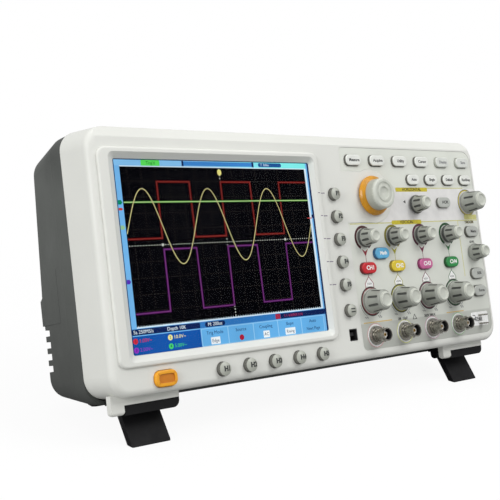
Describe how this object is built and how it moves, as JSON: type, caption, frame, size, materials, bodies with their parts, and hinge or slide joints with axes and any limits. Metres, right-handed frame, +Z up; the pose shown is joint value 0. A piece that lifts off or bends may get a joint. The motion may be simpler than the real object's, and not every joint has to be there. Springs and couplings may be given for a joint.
{
  "type": "digital oscilloscope",
  "caption": "Bench digital oscilloscope with a wide screen, soft keys, fluted knobs, coaxial input jacks and fold-out front legs that lean it back.",
  "frame": {"origin": "centre of the whole object's bottom, on the desk, with the front legs out", "axes": "+Z up, +X to the right as seen from the front; the front panel faces -Y and leans back by 16.5 degrees"},
  "size_m": [0.37, 0.1444, 0.1932],
  "materials": {
    "shell_white": "fine spark-eroded texture, warm white",
    "shell_dark": "fine spark-eroded texture, dark grey",
    "overlay_grey": "printed polycarbonate label sheet, satin",
    "screen_glass": "clear touch panel over the display",
    "display_steel": "plated steel bezel, satin",
    "circuit_board": "green solder mask",
    "inlet_black": "moulded black",
    "nickel": "bright nickel plate",
    "plated_steel": "bright plated sheet",
    "screw_steel": "zinc plate",
    "foot_rubber": "soft black",
    "leg_black": "moulded black, satin",
    "key_grey": "soft-touch light grey",
    "key_white": "soft-touch off-white",
    "key_orange": "translucent orange",
    "key_blue": "soft-touch blue",
    "key_red": "soft-touch red",
    "key_yellow": "soft-touch yellow",
    "key_pink": "soft-touch pink",
    "key_green": "soft-touch green",
    "knob_grey": "soft-touch grey"
  },
  "bodies": {
    "casing": {"front_shell": "shell_white", "rear_shell": "shell_dark", "control_overlay": "overlay_grey", "touch_panel": "screen_glass", "lcd_module": "display_steel", "front_board": "circuit_board", "signal_boards": "circuit_board", "power_supply": "circuit_board", "mains_inlet": "inlet_black", "bnc_jacks": "nickel", "usb_port": "plated_steel", "probe_terminals": "plated_steel", "case_screws": "screw_steel", "leg_brackets": "leg_black", "rear_pads": "foot_rubber"},
    "menu_key_1": {"menu_key_1": "key_white"},
    "menu_key_2": {"menu_key_2": "key_white"},
    "menu_key_3": {"menu_key_3": "key_white"},
    "menu_key_4": {"menu_key_4": "key_white"},
    "menu_key_5": {"menu_key_5": "key_white"},
    "menu_key_6": {"menu_key_6": "key_white"},
    "run_key_1": {"run_key_1": "key_white"},
    "run_key_2": {"run_key_2": "key_white"},
    "run_key_3": {"run_key_3": "key_white"},
    "run_key_4": {"run_key_4": "key_white"},
    "horizontal_menu_key": {"horizontal_menu_key": "key_grey"},
    "trigger_menu_key": {"trigger_menu_key": "key_grey"},
    "trigger_half_key": {"trigger_half_key": "key_grey"},
    "trigger_force_key": {"trigger_force_key": "key_grey"},
    "math_key": {"math_key": "key_blue"},
    "channel_1_key": {"channel_1_key": "key_red"},
    "channel_2_key": {"channel_2_key": "key_yellow"},
    "channel_3_key": {"channel_3_key": "key_pink"},
    "channel_4_key": {"channel_4_key": "key_green"},
    "power_key": {"power_key": "key_orange"},
    "side_key_1": {"side_key_1": "key_grey"},
    "side_key_2": {"side_key_2": "key_grey"},
    "side_key_3": {"side_key_3": "key_grey"},
    "side_key_4": {"side_key_4": "key_grey"},
    "side_key_5": {"side_key_5": "key_grey"},
    "copy_key": {"copy_key": "key_grey"},
    "bottom_key_1": {"bottom_key_1": "key_grey"},
    "bottom_key_2": {"bottom_key_2": "key_grey"},
    "bottom_key_3": {"bottom_key_3": "key_grey"},
    "bottom_key_4": {"bottom_key_4": "key_grey"},
    "bottom_key_5": {"bottom_key_5": "key_grey"},
    "multi_knob": {"multi_knob": "knob_grey"},
    "horizontal_position_knob": {"horizontal_position_knob": "knob_grey"},
    "horizontal_scale_knob": {"horizontal_scale_knob": "knob_grey"},
    "trigger_level_knob": {"trigger_level_knob": "knob_grey"},
    "channel_1_position_knob": {"channel_1_position_knob": "knob_grey"},
    "channel_1_scale_knob": {"channel_1_scale_knob": "knob_grey"},
    "channel_2_position_knob": {"channel_2_position_knob": "knob_grey"},
    "channel_2_scale_knob": {"channel_2_scale_knob": "knob_grey"},
    "channel_3_position_knob": {"channel_3_position_knob": "knob_grey"},
    "channel_3_scale_knob": {"channel_3_scale_knob": "knob_grey"},
    "channel_4_position_knob": {"channel_4_position_knob": "knob_grey"},
    "channel_4_scale_knob": {"channel_4_scale_knob": "knob_grey"},
    "left_leg": {"left_leg": "leg_black"},
    "right_leg": {"right_leg": "leg_black"}
  },
  "joints": [
    {"name": "menu_key_1_press", "type": "slide", "parent": "casing", "child": "menu_key_1", "axis": [0, 0.9588, -0.284], "range_m": [0, 0.001], "stiffness_N_per_m": 250},
    {"name": "menu_key_2_press", "type": "slide", "parent": "casing", "child": "menu_key_2", "axis": [0, 0.9588, -0.284], "range_m": [0, 0.001], "stiffness_N_per_m": 250},
    {"name": "menu_key_3_press", "type": "slide", "parent": "casing", "child": "menu_key_3", "axis": [0, 0.9588, -0.284], "range_m": [0, 0.001], "stiffness_N_per_m": 250},
    {"name": "menu_key_4_press", "type": "slide", "parent": "casing", "child": "menu_key_4", "axis": [0, 0.9588, -0.284], "range_m": [0, 0.001], "stiffness_N_per_m": 250},
    {"name": "menu_key_5_press", "type": "slide", "parent": "casing", "child": "menu_key_5", "axis": [0, 0.9588, -0.284], "range_m": [0, 0.001], "stiffness_N_per_m": 250},
    {"name": "menu_key_6_press", "type": "slide", "parent": "casing", "child": "menu_key_6", "axis": [0, 0.9588, -0.284], "range_m": [0, 0.001], "stiffness_N_per_m": 250},
    {"name": "run_key_1_press", "type": "slide", "parent": "casing", "child": "run_key_1", "axis": [0, 0.9588, -0.284], "range_m": [0, 0.001], "stiffness_N_per_m": 250},
    {"name": "run_key_2_press", "type": "slide", "parent": "casing", "child": "run_key_2", "axis": [0, 0.9588, -0.284], "range_m": [0, 0.001], "stiffness_N_per_m": 250},
    {"name": "run_key_3_press", "type": "slide", "parent": "casing", "child": "run_key_3", "axis": [0, 0.9588, -0.284], "range_m": [0, 0.001], "stiffness_N_per_m": 250},
    {"name": "run_key_4_press", "type": "slide", "parent": "casing", "child": "run_key_4", "axis": [0, 0.9588, -0.284], "range_m": [0, 0.001], "stiffness_N_per_m": 250},
    {"name": "horizontal_menu_key_press", "type": "slide", "parent": "casing", "child": "horizontal_menu_key", "axis": [0, 0.9588, -0.284], "range_m": [0, 0.001], "stiffness_N_per_m": 250},
    {"name": "trigger_menu_key_press", "type": "slide", "parent": "casing", "child": "trigger_menu_key", "axis": [0, 0.9588, -0.284], "range_m": [0, 0.001], "stiffness_N_per_m": 250},
    {"name": "trigger_half_key_press", "type": "slide", "parent": "casing", "child": "trigger_half_key", "axis": [0, 0.9588, -0.284], "range_m": [0, 0.001], "stiffness_N_per_m": 250},
    {"name": "trigger_force_key_press", "type": "slide", "parent": "casing", "child": "trigger_force_key", "axis": [0, 0.9588, -0.284], "range_m": [0, 0.001], "stiffness_N_per_m": 250},
    {"name": "math_key_press", "type": "slide", "parent": "casing", "child": "math_key", "axis": [0, 0.9588, -0.284], "range_m": [0, 0.001], "stiffness_N_per_m": 250},
    {"name": "channel_1_key_press", "type": "slide", "parent": "casing", "child": "channel_1_key", "axis": [0, 0.9588, -0.284], "range_m": [0, 0.001], "stiffness_N_per_m": 250},
    {"name": "channel_2_key_press", "type": "slide", "parent": "casing", "child": "channel_2_key", "axis": [0, 0.9588, -0.284], "range_m": [0, 0.001], "stiffness_N_per_m": 250},
    {"name": "channel_3_key_press", "type": "slide", "parent": "casing", "child": "channel_3_key", "axis": [0, 0.9588, -0.284], "range_m": [0, 0.001], "stiffness_N_per_m": 250},
    {"name": "channel_4_key_press", "type": "slide", "parent": "casing", "child": "channel_4_key", "axis": [0, 0.9588, -0.284], "range_m": [0, 0.001], "stiffness_N_per_m": 250},
    {"name": "power_key_press", "type": "slide", "parent": "casing", "child": "power_key", "axis": [0, 0.9588, -0.284], "range_m": [0, 0.001], "stiffness_N_per_m": 250},
    {"name": "side_key_1_press", "type": "slide", "parent": "casing", "child": "side_key_1", "axis": [0, 0.9588, -0.284], "range_m": [0, 0.001], "stiffness_N_per_m": 250},
    {"name": "side_key_2_press", "type": "slide", "parent": "casing", "child": "side_key_2", "axis": [0, 0.9588, -0.284], "range_m": [0, 0.001], "stiffness_N_per_m": 250},
    {"name": "side_key_3_press", "type": "slide", "parent": "casing", "child": "side_key_3", "axis": [0, 0.9588, -0.284], "range_m": [0, 0.001], "stiffness_N_per_m": 250},
    {"name": "side_key_4_press", "type": "slide", "parent": "casing", "child": "side_key_4", "axis": [0, 0.9588, -0.284], "range_m": [0, 0.001], "stiffness_N_per_m": 250},
    {"name": "side_key_5_press", "type": "slide", "parent": "casing", "child": "side_key_5", "axis": [0, 0.9588, -0.284], "range_m": [0, 0.001], "stiffness_N_per_m": 250},
    {"name": "copy_key_press", "type": "slide", "parent": "casing", "child": "copy_key", "axis": [0, 0.9588, -0.284], "range_m": [0, 0.001], "stiffness_N_per_m": 250},
    {"name": "bottom_key_1_press", "type": "slide", "parent": "casing", "child": "bottom_key_1", "axis": [0, 0.9588, -0.284], "range_m": [0, 0.001], "stiffness_N_per_m": 250},
    {"name": "bottom_key_2_press", "type": "slide", "parent": "casing", "child": "bottom_key_2", "axis": [0, 0.9588, -0.284], "range_m": [0, 0.001], "stiffness_N_per_m": 250},
    {"name": "bottom_key_3_press", "type": "slide", "parent": "casing", "child": "bottom_key_3", "axis": [0, 0.9588, -0.284], "range_m": [0, 0.001], "stiffness_N_per_m": 250},
    {"name": "bottom_key_4_press", "type": "slide", "parent": "casing", "child": "bottom_key_4", "axis": [0, 0.9588, -0.284], "range_m": [0, 0.001], "stiffness_N_per_m": 250},
    {"name": "bottom_key_5_press", "type": "slide", "parent": "casing", "child": "bottom_key_5", "axis": [0, 0.9588, -0.284], "range_m": [0, 0.001], "stiffness_N_per_m": 250},
    {"name": "multi_knob_turn", "type": "hinge", "parent": "casing", "child": "multi_knob", "pos_m": [0.0563, -0.03426, 0.15191], "axis": [0, -0.9588, 0.284], "continuous": true},
    {"name": "horizontal_position_knob_turn", "type": "hinge", "parent": "casing", "child": "horizontal_position_knob", "pos_m": [0.1038, -0.0363, 0.14501], "axis": [0, -0.9588, 0.284], "continuous": true},
    {"name": "horizontal_scale_knob_turn", "type": "hinge", "parent": "casing", "child": "horizontal_scale_knob", "pos_m": [0.1688, -0.03602, 0.14597], "axis": [0, -0.9588, 0.284], "continuous": true},
    {"name": "trigger_level_knob_turn", "type": "hinge", "parent": "casing", "child": "trigger_level_knob", "pos_m": [0.1688, -0.048, 0.1055], "axis": [0, -0.9588, 0.284], "continuous": true},
    {"name": "channel_1_position_knob_turn", "type": "hinge", "parent": "casing", "child": "channel_1_position_knob", "pos_m": [0.0412, -0.04329, 0.12142], "axis": [0, -0.9588, 0.284], "continuous": true},
    {"name": "channel_1_scale_knob_turn", "type": "hinge", "parent": "casing", "child": "channel_1_scale_knob", "pos_m": [0.0412, -0.05689, 0.07549], "axis": [0, -0.9588, 0.284], "continuous": true},
    {"name": "channel_2_position_knob_turn", "type": "hinge", "parent": "casing", "child": "channel_2_position_knob", "pos_m": [0.0733, -0.04329, 0.12142], "axis": [0, -0.9588, 0.284], "continuous": true},
    {"name": "channel_2_scale_knob_turn", "type": "hinge", "parent": "casing", "child": "channel_2_scale_knob", "pos_m": [0.0733, -0.05689, 0.07549], "axis": [0, -0.9588, 0.284], "continuous": true},
    {"name": "channel_3_position_knob_turn", "type": "hinge", "parent": "casing", "child": "channel_3_position_knob", "pos_m": [0.1054, -0.04329, 0.12142], "axis": [0, -0.9588, 0.284], "continuous": true},
    {"name": "channel_3_scale_knob_turn", "type": "hinge", "parent": "casing", "child": "channel_3_scale_knob", "pos_m": [0.1054, -0.05689, 0.07549], "axis": [0, -0.9588, 0.284], "continuous": true},
    {"name": "channel_4_position_knob_turn", "type": "hinge", "parent": "casing", "child": "channel_4_position_knob", "pos_m": [0.1375, -0.04329, 0.12142], "axis": [0, -0.9588, 0.284], "continuous": true},
    {"name": "channel_4_scale_knob_turn", "type": "hinge", "parent": "casing", "child": "channel_4_scale_knob", "pos_m": [0.1375, -0.05689, 0.07549], "axis": [0, -0.9588, 0.284], "continuous": true},
    {"name": "left_leg_fold", "type": "hinge", "parent": "casing", "child": "left_leg", "pos_m": [-0.1532, -0.03864, 0.0195], "axis": [1, 0, 0], "range_deg": [0, 115]},
    {"name": "right_leg_fold", "type": "hinge", "parent": "casing", "child": "right_leg", "pos_m": [0.1532, -0.03864, 0.0195], "axis": [1, 0, 0], "range_deg": [0, 115]}
  ]
}
